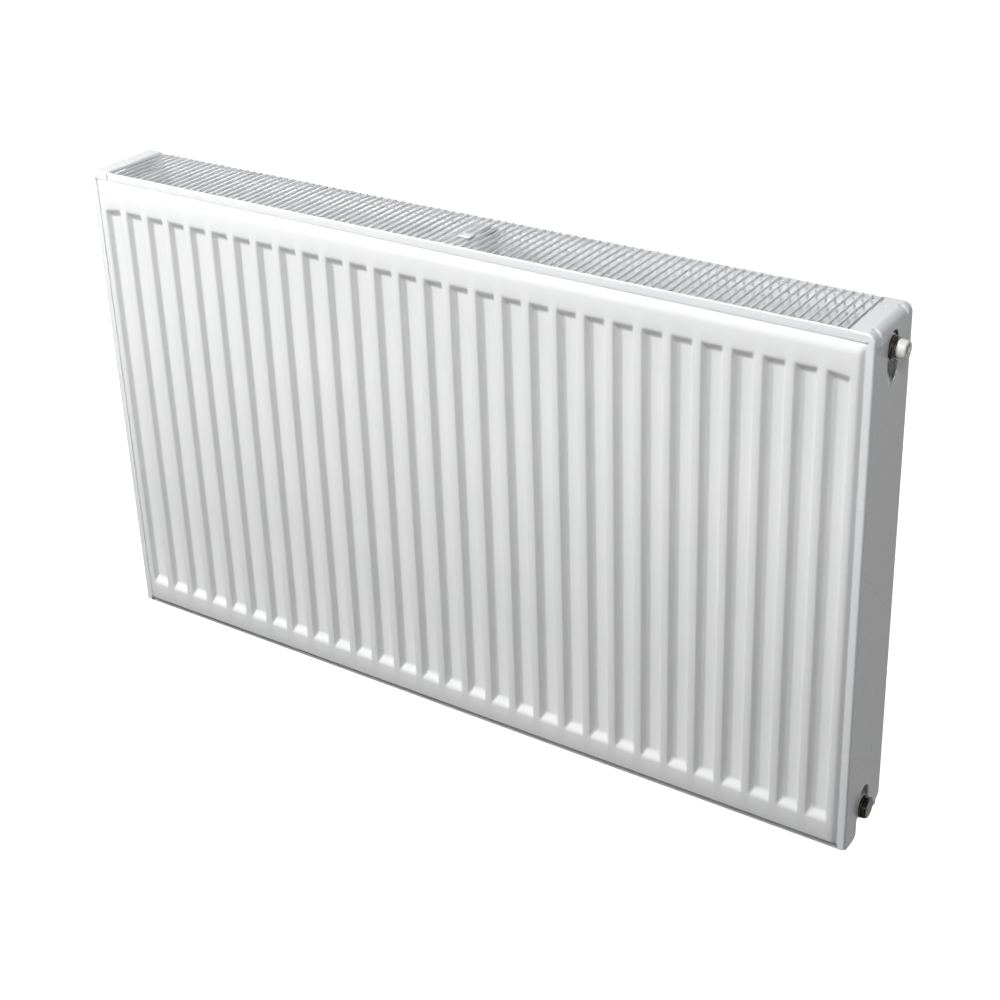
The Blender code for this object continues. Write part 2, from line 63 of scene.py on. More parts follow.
FRONT_Y = FRONT_LOW.y
REAR_Y = REAR_HIGH.y
MIDDLE_Y = (FRONT_Y + REAR_Y) / 2
SEAM_X = FRONT_HIGH.x
SEAM_TOP = FRONT_HIGH.z
HEIGHT = SIDE_HIGH.z
LENGTH = 2 * SIDE_HIGH.x
PORT_X = TOP_TEE_HIGH.x
PORT_LEVELS = {
    "top": (TOP_TEE_LOW.z + TOP_TEE_HIGH.z) / 2,
    "bottom": (BOTTOM_TEE_LOW.z + BOTTOM_TEE_HIGH.z) / 2,
}

# Water panels
SHEET = 1.25 * MM
PRESSING = 6.35 * MM
PANEL = 15.5 * MM
VALLEYS = 29
PITCH = LENGTH / (VALLEYS + 1)
VALLEY_WIDTH = 24.5 * MM
FLANK = 4 * MM
SHOULDER_X = 493.8 * MM
FACE_X = 486 * MM
SEAM_LOW = 5 * MM
FACE_LOW = 10.6 * MM
FACE_HIGH = 580 * MM
SEAM_HIGH = 593 * MM
OUTER_VALLEY = (35.5 * MM, 556.5 * MM)
INNER_VALLEY = (50 * MM, 550 * MM)
RAMP = 9 * MM
EDGE_FILLET = 0.24  # rounding of the face's outer bends, as a share of the bend
VALLEY_FILLET = 0.24  # the same for the valleys' bends
LAST_VALLEY = (VALLEYS - 1) / 2 * PITCH
CLIPPED_CORNER = 0.28  # slope of the upper end of the two outermost valleys
SEAM_CORNER = 1.1 * MM  # how much is cut off a sheet's four corners

# Casing
CASING = 1.2 * MM
LIP_INSET = 0.6 * MM
LIP_SHEET = 1.0 * MM
LIP_STRIP = 1.9 * MM
ROLL = 10 * MM
CORNER = 2.6 * MM
SIDE_LIP_X = 491.3 * MM
LIP_LOW = GRILLE_LOW.z + 0.9 * MM
RELIEF = 1.1 * MM
WINDOW_WIDTH = 27 * MM
WINDOW_LEVELS = (531.5 * MM, 588 * MM)
NOTCH_TOP = 56.5 * MM
MOUTH_WIDTH = 34 * MM
MOUTH_TOP = 24 * MM
MOUTH_FLARE = 6 * MM
FRONT_FOOT = 3 * MM
REAR_FOOT = 14 * MM
DENT_INSET = 14 * MM
DENT_WIDTH = 6 * MM

BLADES = 96
BLADE = 1.4 * MM
FIRST_BLADE = -472 * MM
BLADE_SPACING = 9.9 * MM
BLADE_LOW = SEAM_TOP + 0.4 * MM


# ------------------------------------------------------------------ materials


def node_material(name):
    made = bpy.data.materials.new(name)
    made.use_nodes = True
    nodes = made.node_tree.nodes
    return made, nodes, made.node_tree.links, nodes["Principled BSDF"]


def noise(nodes, links, coordinates, scale, detail):
    texture = nodes.new("ShaderNodeTexNoise")
    texture.inputs["Scale"].default_value = scale
    texture.inputs["Detail"].default_value = detail
    links.new(coordinates, texture.inputs["Vector"])
    return texture.outputs["Fac"]


def blend_colours(nodes, links, factor, low, high, start=0.25, end=0.75):
    ramp = nodes.new("ShaderNodeValToRGB")
    ramp.color_ramp.elements[0].position = start
    ramp.color_ramp.elements[0].color = (*low, 1)
    ramp.color_ramp.elements[1].position = end
    ramp.color_ramp.elements[1].color = (*high, 1)
    links.new(factor, ramp.inputs["Fac"])
    return ramp.outputs["Color"]


def spread(nodes, links, factor, low, high):
    """A value from low to high as the factor goes from 0 to 1."""
    mapped = nodes.new("ShaderNodeMapRange")
    mapped.inputs["To Min"].default_value = low
    mapped.inputs["To Max"].default_value = high
    links.new(factor, mapped.inputs["Value"])
    return mapped.outputs["Result"]


def bump(nodes, links, height, distance, strength, under=None):
    made = nodes.new("ShaderNodeBump")
    made.inputs["Distance"].default_value = distance
    made.inputs["Strength"].default_value = strength
    links.new(height, made.inputs["Height"])
    if under:
        links.new(under, made.inputs["Normal"])
    return made.outputs["Normal"]


def enamel(name, low, high, roughness):
    """Stoved enamel on sheet steel: faint cloudiness, fine orange peel, slight waviness of the sheet."""
    made, nodes, links, shader = node_material(name)
    place = nodes.new("ShaderNodeTexCoord").outputs["Object"]
    clouds = noise(nodes, links, place, 9, 3)
    links.new(blend_colours(nodes, links, clouds, low, high), shader.inputs["Base Color"])
    patches = noise(nodes, links, place, 30, 4)
    gloss = spread(nodes, links, patches, roughness - 0.05, roughness + 0.06)
    links.new(gloss, shader.inputs["Roughness"])
    waves = bump(nodes, links, noise(nodes, links, place, 14, 1), 0.25 * MM, 0.25)
    peel = bump(nodes, links, noise(nodes, links, place, 520, 2), 0.02 * MM, 0.35, waves)
    links.new(peel, shader.inputs["Normal"])
    shader.inputs["IOR"].default_value = 1.5
    shader.inputs["Coat Weight"].default_value = 0.15
    shader.inputs["Coat Roughness"].default_value = 0.12
    return made


def plated(name, low, high, roughness):
    """Nickel-plated or bare brass, with fine turning marks round the X axis and slight tarnish."""
    made, nodes, links, shader = node_material(name)
    place = nodes.new("ShaderNodeTexCoord").outputs["Object"]
    tarnish = noise(nodes, links, place, 160, 5)
    links.new(blend_colours(nodes, links, tarnish, low, high), shader.inputs["Base Color"])
    links.new(
        spread(nodes, links, noise(nodes, links, place, 420, 3), roughness - 0.08, roughness + 0.1),
        shader.inputs["Roughness"],
    )
    rings = nodes.new("ShaderNodeTexWave")
    rings.wave_type = "BANDS"
    rings.bands_direction = "X"
    rings.inputs["Scale"].default_value = 900
    rings.inputs["Distortion"].default_value = 2
    links.new(place, rings.inputs["Vector"])
    marks = bump(nodes, links, rings.outputs["Fac"], 0.01 * MM, 0.3)
    pits = bump(nodes, links, tarnish, 0.03 * MM, 0.3, marks)
    links.new(pits, shader.inputs["Normal"])
    shader.inputs["Metallic"].default_value = 1
    return made


def moulded(name, low, high, roughness):
    """Moulded plastic or rubber with a fine grain."""
    made, nodes, links, shader = node_material(name)
    place = nodes.new("ShaderNodeTexCoord").outputs["Object"]
    clouds = noise(nodes, links, place, 120, 3)
    links.new(blend_colours(nodes, links, clouds, low, high), shader.inputs["Base Color"])
    grain = noise(nodes, links, place, 1800, 2)
    links.new(spread(nodes, links, grain, roughness - 0.06, roughness + 0.06), shader.inputs["Roughness"])
    links.new(bump(nodes, links, grain, 0.02 * MM, 0.3), shader.inputs["Normal"])
    return made


ENAMEL = enamel("white_enamel", (0.80, 0.805, 0.81), (0.83, 0.832, 0.835), 0.30)
CASING_ENAMEL = enamel("casing_enamel", (0.79, 0.80, 0.815), (0.82, 0.828, 0.84), 0.26)
INNER_ENAMEL = enamel("convector_enamel", (0.70, 0.71, 0.72), (0.76, 0.765, 0.77), 0.42)
# Both nickel colours are far darker than bare nickel: a painted dark reflection, standing in for the dark
# surroundings that the plating mirrors.
NICKEL = plated("nickel_plate", (0.20, 0.175, 0.15), (0.36, 0.32, 0.28), 0.22)
# Nearly black nickel for the blanking plug's hexagon: its dark colour is a painted dark reflection of the
# surroundings.
NEAR_BLACK_NICKEL_PAINTED_REFLECTION = plated("near_black_nickel_painted_reflection", (0.07, 0.062, 0.054), (0.17, 0.15, 0.125), 0.24)
BRASS = plated("brass", (0.52, 0.38, 0.18), (0.64, 0.50, 0.27), 0.28)
PLASTIC = moulded("white_plastic", (0.80, 0.80, 0.77), (0.85, 0.85, 0.83), 0.34)
RUBBER = moulded("black_rubber", (0.015, 0.015, 0.016), (0.035, 0.035, 0.036), 0.62)

STEEL_SLOT = "enamelled_steel"


# ------------------------------------------------------------------ mesh tools


def linked(mesh_data, name):
    mesh = bpy.data.meshes.new(name)
    mesh_data.to_mesh(mesh)
    mesh_data.free()
    obj = bpy.data.objects.new(name, mesh)
    bpy.context.scene.collection.objects.link(obj)
    return obj


def applied(obj):
    """Replaces an object's mesh with the one its modifiers give."""
    graph = bpy.context.evaluated_depsgraph_get()
    mesh = bpy.data.meshes.new_from_object(obj.evaluated_get(graph))
    obj.modifiers.clear()
    obj.data = mesh
    return obj


def removed(*tools):
    for obj in tools:
        bpy.data.objects.remove(obj, do_unlink=True)


def solidify(obj, thickness):
    step = obj.modifiers.new("sheet", "SOLIDIFY")
    step.thickness = thickness
    step.offset = -1
    step.use_even_offset = True


def soften(obj, width, segments=2, angle=35):
    step = obj.modifiers.new("soft_edges", "BEVEL")
    step.width = width
    step.segments = segments
    step.limit_method = "ANGLE"
    step.angle_limit = math.radians(angle)
    step.use_clamp_overlap = True


def planed(obj):
    """Joins the flat faces that a Boolean split."""
    shape = bmesh.new()
    shape.from_mesh(obj.data)
    bmesh.ops.dissolve_limit(shape, angle_limit=math.radians(0.4), verts=shape.verts, edges=shape.edges)
    shape.to_mesh(obj.data)
    shape.free()


def combined(obj, operation, *tools):
    for other in tools:
        step = obj.modifiers.new(operation.lower(), "BOOLEAN")
        step.operation = operation
        step.object = other
        step.solver = "EXACT"
    applied(obj)
    removed(*tools)
    return obj


def piece(obj, material, body, slot, *nodes, sharp=32, flat=False):
    """Finishes an object as a shown piece: material, smooth shading, its body and what it stands for."""
    if obj.modifiers:
        applied(obj)
    obj.data.materials.clear()
    obj.data.materials.append(material)
    obj.data.shade_smooth()
    obj.data.set_sharp_from_angle(angle=math.radians(sharp))
    if flat:
        obj.modifiers.new("flat_faces", "WEIGHTED_NORMAL").keep_sharp = True
    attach(obj, body)
    if nodes:
        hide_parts(*nodes)
    return obj


def grid(columns, rows, place):
    """A mesh grid whose point (i, j) lies at place(i, j)."""
    shape = bmesh.new()
    bmesh.ops.create_grid(shape, x_segments=columns - 1, y_segments=rows - 1, size=0.5)
    for vert in shape.verts:
        i = round((vert.co.x + 0.5) * (columns - 1))
        j = round((vert.co.y + 0.5) * (rows - 1))
        vert.co = place(i, j)
    return shape


def facing(shape, direction):
    """Turns the faces so that their mean normal looks along direction."""
    shape.normal_update()
    total = Vector()
    for face in shape.faces:
        total += face.normal * face.calc_area()
    if total.dot(Vector(direction)) < 0:
        bmesh.ops.reverse_faces(shape, faces=shape.faces)


def prism(name, outline, axis, low, high):
    """A closed outline of 2D points, extruded along an axis: 0 takes (y, z) points, 1 (x, z), 2 (x, y)."""
    shape = bmesh.new()
    verts = []
    for a, b in outline:
        point = [a, b]
        point.insert(axis, low)
        verts.append(shape.verts.new(point))
    face = shape.faces.new(verts)
    grown = bmesh.ops.extrude_face_region(shape, geom=[face])["geom"]
    move = Vector((0, 0, 0))
    move[axis] = high - low
    bmesh.ops.translate(shape, vec=move, verts=[v for v in grown if isinstance(v, bmesh.types.BMVert)])
    bmesh.ops.recalc_face_normals(shape, faces=shape.faces)
    return linked(shape, name)


def arc(centre, radius, start, end, steps):
    """Points on an arc, from one angle to another in degrees."""
    points = []
    for step in range(steps + 1):
        angle = math.radians(start + (end - start) * step / steps)
        points.append((centre[0] + radius * math.cos(angle), centre[1] + radius * math.sin(angle)))
    return points


def rounded(outline, radii, steps=5):
    """Rounds an outline's corners: radii gives one radius for each point."""
    made = []
    count = len(outline)
    for index, (point, radius) in enumerate(zip(outline, radii)):
        here = Vector(point)
        if radius <= 0:
            made.append(tuple(here))
            continue
        before = (Vector(outline[index - 1]) - here).normalized()
        after = (Vector(outline[(index + 1) % count]) - here).normalized()
        half = math.acos(max(-1, min(1, before.dot(after)))) / 2
        reach = radius / math.tan(half)
        centre = here + (before + after).normalized() * (radius / math.sin(half))
        first = here + before * reach - centre
        turn = first.angle_signed(here + after * reach - centre)
        for step in range(steps + 1):
            angle = -turn * step / steps
            made.append(tuple(centre + Matrix.Rotation(angle, 2) @ first))
    return made


def lathe(name, profile, centre, steps=64):
    """A shape turned about the line along X through centre; the profile is (distance along X, radius)."""
    shape = bmesh.new()
    rows = []
    for along, radius in profile:
        if radius < 1e-7:
            rows.append([shape.verts.new((centre[0] + along, centre[1], centre[2]))])
            continue
        ring = []
        for step in range(steps):
            angle = 2 * math.pi * step / steps
            y = centre[1] + radius * math.cos(angle)
            z = centre[2] + radius * math.sin(angle)
            ring.append(shape.verts.new((centre[0] + along, y, z)))
        rows.append(ring)
    open_ends = len(rows[0]) > 1
    pairs = list(zip(rows, rows[1:] + rows[:1] if open_ends else rows[1:]))
    for first, second in pairs:
        for step in range(steps):
            after = (step + 1) % steps
            corners = [first[step % len(first)], first[after % len(first)]]
            corners += [second[after % len(second)], second[step % len(second)]]
            unique = list(dict.fromkeys(corners))
            if len(unique) > 2:
                shape.faces.new(unique)
    bmesh.ops.recalc_face_normals(shape, faces=shape.faces)
    return linked(shape, name)


# ------------------------------------------------------------------ pressed sheets


def soft_clamp(value, fillet):
    """0 below 0 and 1 above 1, with the two bends rounded over fillet on each side."""

    def lift(t):
        if t <= -fillet:
            return 0
        if t >= fillet:
            return t
        return (t + fillet) ** 2 / (4 * fillet)

    return lift(value) - lift(value - 1)


def soft_min(a, b, blend):
    overlap = max(blend - abs(a - b), 0) / blend
    return min(a, b) - overlap * overlap * blend / 4


def corner_drop(x):
    """How much lower the two outermost valleys end on their outer sides."""
    return CLIPPED_CORNER * max(0, min(abs(x) - LAST_VALLEY, VALLEY_WIDTH / 2))


def pressed_depth(x, z, valley):
    """How far a pressed sheet lies below its outer face at a point."""
    across = (abs(x) - FACE_X) / (SHOULDER_X - FACE_X)
    above = (z - FACE_HIGH) / (SEAM_HIGH - FACE_HIGH)
    below = (FACE_LOW - z) / (FACE_LOW - SEAM_LOW)
    edge = soft_clamp(-soft_min(-across, -max(above, below), 0.5), EDGE_FILLET)
    centre = max(-LAST_VALLEY, min(LAST_VALLEY, round(x / PITCH) * PITCH))
    inside = (VALLEY_WIDTH / 2 - abs(x - centre)) / FLANK
    along = min(z - valley[0], valley[1] - corner_drop(x) - z) / RAMP
    return PRESSING * max(edge, soft_clamp(soft_min(inside, along, 0.4), VALLEY_FILLET))


def bend_lines(start, end, fillet, steps):
    """Grid lines across one bend, from before its first rounding to after its last."""
    low = start - (end - start) * fillet
    high = end + (end - start) * fillet
    return [low + (high - low) * step / steps for step in range(steps + 1)]


def pressed_sheet(name, face_y, outward, valley, steps):
    columns = [-SEAM_X] + bend_lines(-SHOULDER_X, -FACE_X, EDGE_FILLET, steps)
    for index in range(VALLEYS):
        centre = (index - (VALLEYS - 1) / 2) * PITCH
        edge = VALLEY_WIDTH / 2
        columns += bend_lines(centre - edge, centre - edge + FLANK, VALLEY_FILLET, steps)
        columns += bend_lines(centre + edge - FLANK, centre + edge, VALLEY_FILLET, steps)
    columns += bend_lines(FACE_X, SHOULDER_X, EDGE_FILLET, steps) + [SEAM_X]
    rows = [0] + bend_lines(SEAM_LOW, FACE_LOW, EDGE_FILLET, steps)
    rows += bend_lines(valley[0], valley[0] + RAMP, VALLEY_FILLET, steps)
    middle = (valley[0] + valley[1]) / 2
    rows += [(valley[0] + middle) / 2, middle, (valley[1] + middle) / 2]
    upper_end = bend_lines(valley[1] - RAMP, valley[1], VALLEY_FILLET, steps)
    rows += upper_end
    rows += bend_lines(FACE_HIGH, SEAM_HIGH, EDGE_FILLET, steps) + [SEAM_TOP]

    def place(i, j):
        x, z = columns[i], rows[j]
        z -= corner_drop(x) if z in upper_end else 0
        y = face_y - outward * pressed_depth(x, z, valley)
        if i in (0, len(columns) - 1) and j in (0, len(rows) - 1):
            x -= math.copysign(SEAM_CORNER, x)
            z += SEAM_CORNER if j == 0 else -SEAM_CORNER
        return Vector((x, y, z))

    shape = grid(len(columns), len(rows), place)
    facing(shape, (0, outward, 0))
    obj = linked(shape, name)
    solidify(obj, SHEET)
    return obj


def make_panels():
    front = pressed_sheet("front_face_sheet", FRONT_Y, -1, OUTER_VALLEY, 7)
    piece(front, ENAMEL, "radiator", STEEL_SLOT, "front_panel_front_sheet", sharp=45)
    inner = pressed_sheet("front_inner_sheet", FRONT_Y + PANEL, 1, INNER_VALLEY, 4)
    piece(inner, ENAMEL, "radiator", STEEL_SLOT, "front_panel_back_sheet", sharp=45)
    inner = pressed_sheet("rear_inner_sheet", REAR_Y - PANEL, -1, INNER_VALLEY, 4)
    piece(inner, ENAMEL, "radiator", STEEL_SLOT, "rear_panel_front_sheet", sharp=45)
    back = pressed_sheet("rear_face_sheet", REAR_Y, 1, OUTER_VALLEY, 7)
    piece(back, ENAMEL, "radiator", STEEL_SLOT, "rear_panel_back_sheet", sharp=45)


# ------------------------------------------------------------------ convectors and tees

FIN_BASE = 14 * MM
FIN_LEAN = 4 * MM
CONVECTOR_FINS = 27
CONVECTOR_SHEET = 0.5 * MM
FIN_DEPTH = CONVECTOR_HIGH.y - CONVECTOR_LOW.y - CONVECTOR_SHEET


def convector_line(base_y, inward):
    """The folded line of a convector, with its bends rounded."""
    corners = []
    for index in range(CONVECTOR_FINS):
        centre = (index - (CONVECTOR_FINS - 1) / 2) * PITCH
        corners.append((centre - FIN_BASE / 2 - FIN_LEAN, base_y + inward * FIN_DEPTH))
        corners.append((centre - FIN_BASE / 2, base_y))
        corners.append((centre + FIN_BASE / 2, base_y))
        corners.append((centre + FIN_BASE / 2 + FIN_LEAN, base_y + inward * FIN_DEPTH))
    radii = [0] + [2 * MM] * (len(corners) - 2) + [0]
    return rounded(corners, radii, 3)


def convector(name, base_y, inward, node):
    line = convector_line(base_y, inward)
    levels = [CONVECTOR_LOW.z, (CONVECTOR_LOW.z + CONVECTOR_HIGH.z) / 2, CONVECTOR_HIGH.z]
    shape = grid(len(line), len(levels), lambda i, j: Vector((*line[i], levels[j])))
    facing(shape, (0, -inward, 0))
    obj = linked(shape, name)
    solidify(obj, CONVECTOR_SHEET)
    piece(obj, INNER_ENAMEL, "radiator", STEEL_SLOT, node, sharp=60)


CROSS_X = 478 * MM
CROSS_RADIUS = 11.5 * MM
WATERWAY_RADIUS = 7.5 * MM
BOSS_RADIUS = 13.2 * MM
THREAD_MINOR = 9.3 * MM
THREAD_MAJOR = 10.4 * MM
THREAD_PITCH = 1.814 * MM
THREAD_DEPTH = 15 * MM


def threaded_hole(name, start, end, y, z):
    """A closed body with the shape of an internally threaded hole along X, used as a cutter."""
    around, per_pitch = 48, 4
    length = abs(end - start)
    turns = length / THREAD_PITCH
    rows = round(turns * per_pitch) + 1
    way = math.copysign(1, end - start)

    def place(i, j):
        angle = 2 * math.pi * (i % around) / around
        along = length * j / (rows - 1)
        phase = (along / THREAD_PITCH - (i % around) / around) % 1
        radius = THREAD_MINOR + (THREAD_MAJOR - THREAD_MINOR) * (1 - abs(2 * phase - 1))
        radius = THREAD_MAJOR if j in (0, rows - 1) else radius
        return Vector((start + way * along, y + radius * math.cos(angle), z + radius * math.sin(angle)))

    shape = grid(around + 1, rows, place)
    bmesh.ops.remove_doubles(shape, verts=shape.verts, dist=1e-7)
    bmesh.ops.holes_fill(shape, edges=[edge for edge in shape.edges if edge.is_boundary])
    bmesh.ops.recalc_face_normals(shape, faces=shape.faces)
    return linked(shape, name)


def rod(name, start, end, radius, sides=48):
    start, end = Vector(start), Vector(end)
    shape = bmesh.new()
    turn = (end - start).to_track_quat("Z", "Y").to_matrix().to_4x4()
    bmesh.ops.create_cone(
        shape, cap_ends=True, segments=sides, radius1=radius, radius2=radius, depth=(end - start).length,
        matrix=Matrix.Translation((start + end) / 2) @ turn,
    )
    return linked(shape, name)


def tee(node, side, level, threaded):
    """Welded tee: cross tube between the panels, round boss with a chamfered mouth, threaded or plain bored.
    """
    low_y, high_y = FRONT_Y + PANEL, REAR_Y - PANEL
    x = side * CROSS_X
    body = rod(node + "_welded", (x, low_y + 0.1 * MM, level), (x, high_y - 0.1 * MM, level), CROSS_RADIUS)
    mouth = side * PORT_X
    chamfer = 0.25 * MM
    outline = [(x, 0), (x, BOSS_RADIUS), (mouth - side * chamfer, BOSS_RADIUS)]
    outline += [(mouth, BOSS_RADIUS - chamfer), (mouth, 0)]
    boss = lathe("boss", outline, (0, MIDDLE_Y, level), 48)
    combined(body, "UNION", boss)
    way = rod("way", (x, low_y - MM, level), (x, high_y + MM, level), WATERWAY_RADIUS)
    start = mouth - side * THREAD_DEPTH
    if threaded:
        bore = threaded_hole("bore", start, mouth + side * MM, MIDDLE_Y, level)
    else:
        bore = rod("bore", (start, MIDDLE_Y, level), (mouth + side * MM, MIDDLE_Y, level), THREAD_MAJOR)
    passage = rod("passage", (x, MIDDLE_Y, level), (mouth, MIDDLE_Y, level), THREAD_MINOR - MM)
    lead_in = [(mouth - side * 1.2 * MM, 0), (mouth - side * 1.2 * MM, THREAD_MINOR)]
    lead_in += [(mouth + side * 0.5 * MM, THREAD_MAJOR + 0.9 * MM), (mouth + side * 0.5 * MM, 0)]
    taper = lathe("taper", lead_in, (0, MIDDLE_Y, level), 48)
    combined(body, "DIFFERENCE", way, passage, bore, taper)
    piece(body, CASING_ENAMEL, "radiator", STEEL_SLOT, node, sharp=40)


# ------------------------------------------------------------------ side panels


def side_path():
    """The line of a side panel's outer face in X and Z, with its inward normal, from the foot to the top."""
    outer, top = SIDE_HIGH.x, SIDE_HIGH.z
    path = []
    for share in (0, 0.012, 0.03, 0.06, 0.3, 0.6, 0.85, 1):
        level = SIDE_LOW.z + (top - ROLL - SIDE_LOW.z) * share
        path.append((outer, level, -1, 0, None))
    path.pop()
    for step in range(15):
        turn = math.radians(90 * step / 14)
        x = outer - ROLL + ROLL * math.cos(turn)
        z = top - ROLL + ROLL * math.sin(turn)
        path.append((x, z, -math.cos(turn), -math.sin(turn), turn))
    run = outer - ROLL - SIDE_LOW.x
    for share in (0.3, 0.65, 1):
        path.append((outer - ROLL - run * share, top, 0, -1, None))
    return path


def dent_depth(turn, y):
    """Two stiffening dents pressed across the roll, near the front and the rear edge."""
    if turn is None:
        return 0
    depth = 0
    chord = ROLL - ROLL * math.cos(math.pi / 4) / math.cos(turn - math.pi / 4)
    for centre in (SIDE_LOW.y + DENT_INSET, SIDE_HIGH.y - DENT_INSET):
        off = abs(y - centre) / (DENT_WIDTH / 2)
        if off < 1:
            depth = max(depth, chord * 0.9 * math.cos(off * math.pi / 2) ** 1.2)
    return max(depth, 0)


def side_shell(name):
    """The open surface of a right-hand side panel: outer face, roll, top return and both lips."""
    low_y, high_y = SIDE_LOW.y, SIDE_HIGH.y
    path = side_path()
    corner_steps = 5
    flat = [low_y + CORNER + 0.01 * MM]
    for centre in (low_y + DENT_INSET, high_y - DENT_INSET):
        flat += [centre + DENT_WIDTH * (step / 12 - 0.5) for step in range(13)]
        if centre < MIDDLE_Y:
            flat.append(MIDDLE_Y)
    flat.append(high_y - CORNER - 0.01 * MM)

    def section(i):
        """Points across the panel at one place on its path, from the front lip's end to the rear lip's."""
        x, z, nx, nz, turn = path[i]
        end = Vector((min(x, SIDE_LIP_X), 0, min(z, LIP_LOW)))
        inward = Vector((nx, 0, nz))
        outer = Vector((x, 0, z))
        bend = outer + inward * CORNER
        half = [end.lerp(bend, share) for share in (0, 0.5)]
        half = [Vector((p.x, 0, p.z)) for p in half]
        for step in range(corner_steps + 1):
            angle = math.pi / 2 * step / corner_steps
            point = outer + inward * CORNER * (1 - math.sin(angle))
            half.append(Vector((point.x, CORNER * (1 - math.cos(angle)), point.z)))
        front = [Vector((p.x, low_y + p.y, p.z)) for p in half]
        rear = [Vector((p.x, high_y - p.y, p.z)) for p in reversed(half)]
        middle = [outer + inward * dent_depth(turn, y) + Vector((0, y, 0)) for y in flat]
        return front + middle + rear

    sections = [section(i) for i in range(len(path))]
    shape = grid(len(path), len(sections[0]), lambda i, j: sections[i][j])
    bmesh.ops.remove_doubles(shape, verts=shape.verts, dist=0.02 * MM)
    bmesh.ops.dissolve_degenerate(shape, edges=shape.edges, dist=0.01 * MM)
    facing(shape, (1, 0, 0.2))
    return linked(shape, name)


def window_outline():
    """Obround opening round the upper port, as (y, z) points."""
    radius = WINDOW_WIDTH / 2
    low, high = WINDOW_LEVELS
    points = arc((MIDDLE_Y, high - radius), radius, 0, 180, 24)
    return points + arc((MIDDLE_Y, low + radius), radius, 180, 360, 24)


def notch_outline():
    """Open-bottomed notch round the lower port, widening into the mouth, as (y, z) points."""
    radius = WINDOW_WIDTH / 2
    half = MOUTH_WIDTH / 2
    foot = SIDE_LOW.z
    under = foot - 20 * MM
    wide = half + 3 * MOUTH_FLARE
    bend = 2 * MM
    points = arc((MIDDLE_Y, NOTCH_TOP - radius), radius, 0, 180, 24)
    corners = [(-radius, MOUTH_TOP + bend), (-half, MOUTH_TOP - bend), (-half, foot), (-wide, foot)]
    corners += [(-wide, under), (wide, under), (wide, foot)]
    corners += [(half, foot), (half, MOUTH_TOP - bend), (radius, MOUTH_TOP + bend)]
    radii = [bend, bend, MOUTH_FLARE, 0, 0, 0, 0, MOUTH_FLARE, bend, bend]
    outline = [(MIDDLE_Y + y, z) for y, z in corners]
    first, last = points[-1], points[0]
    made = rounded([first] + outline + [last], [0] + radii + [0], 6)
    return points + made[1:-1]


def side_panel(node, side):
    """Side cover with its window, foot notch, shaped feet and corner reliefs; side is 1 right, -1 left."""
    obj = side_shell(node + "_cover")
    solidify(obj, CASING)
    through = (SIDE_LIP_X + CASING, SIDE_HIGH.x + CASING)
    window = prism("window", window_outline(), 0, *through)
    notch = prism("notch", notch_outline(), 0, *through)
    high_y, below, heel = SIDE_HIGH.y, -20 * MM, 12 * MM
    rear = [(MIDDLE_Y + 10 * MM, below), (high_y + 2 * MM, below), (high_y + 2 * MM, REAR_FOOT + 14 * MM)]
    rear += [(high_y, REAR_FOOT + heel)]
    rear += arc((high_y - heel, REAR_FOOT + heel), heel, 0, -90, 10)
    rear += [(MIDDLE_Y + 10 * MM, REAR_FOOT)]
    foot = prism("rear_foot", rear, 0, SIDE_LOW.x - MM, SIDE_HIGH.x + MM)
    low_y, bend = SIDE_LOW.y, (SIDE_HIGH.x - SIDE_LIP_X) / 2
    front = [(SIDE_LOW.x, below), (SIDE_HIGH.x + MM, below), (SIDE_HIGH.x + MM, FRONT_FOOT + bend)]
    front += arc((SIDE_HIGH.x - bend, FRONT_FOOT + bend), bend, 0, -180, 14)
    front += [(SIDE_LOW.x, FRONT_FOOT + bend)]
    tip = prism("front_tip", front, 1, low_y - MM, low_y + CORNER)
    slope = [(low_y - MM, below), (low_y + 12 * MM, below)]
    slope += [(low_y + 12 * MM, SIDE_LOW.z), (low_y - MM, FRONT_FOOT)]
    front_slope = prism("front_slope", slope, 0, *through)
    reliefs = [
        rod("relief", (SIDE_LIP_X, y - 2 * MM, LIP_LOW), (SIDE_LIP_X, y + 2 * MM, LIP_LOW), RELIEF, 32)
        for y in (low_y, high_y)
    ]
    combined(obj, "DIFFERENCE", window, notch, foot, tip, front_slope, *reliefs)
    planed(obj)
    soften(obj, 0.22 * MM, 2, 50)
    applied(obj)
    if side < 0:
        obj.data.transform(Matrix.Diagonal((-1, 1, 1, 1)))
        obj.data.flip_normals()
    piece(obj, CASING_ENAMEL, node, STEEL_SLOT, node, sharp=38, flat=True)


# ------------------------------------------------------------------ top grille


def grille_lip(name, side):
    """One hemmed lip of the grille: outer face, rounded top edge, narrow top strip turned down inside."""
    edge = (GRILLE_LOW.y if side < 0 else GRILLE_HIGH.y) - side * LIP_INSET
    low, width, turned = GRILLE_LOW.z + 0.5 * MM, LIP_STRIP, HEIGHT - 1.7 * MM
    corners = [(0, low), (0, HEIGHT), (width, HEIGHT), (width, turned), (LIP_SHEET, turned), (LIP_SHEET, low)]
    radii = [0.3 * MM, 1.6 * MM, 0.6 * MM, 0.2 * MM, 0.1 * MM, 0.3 * MM]
    outline = [(edge - side * y, z) for y, z in rounded(corners, radii, 5)]
    return prism(name, outline, 0, GRILLE_LOW.x, GRILLE_HIGH.x)


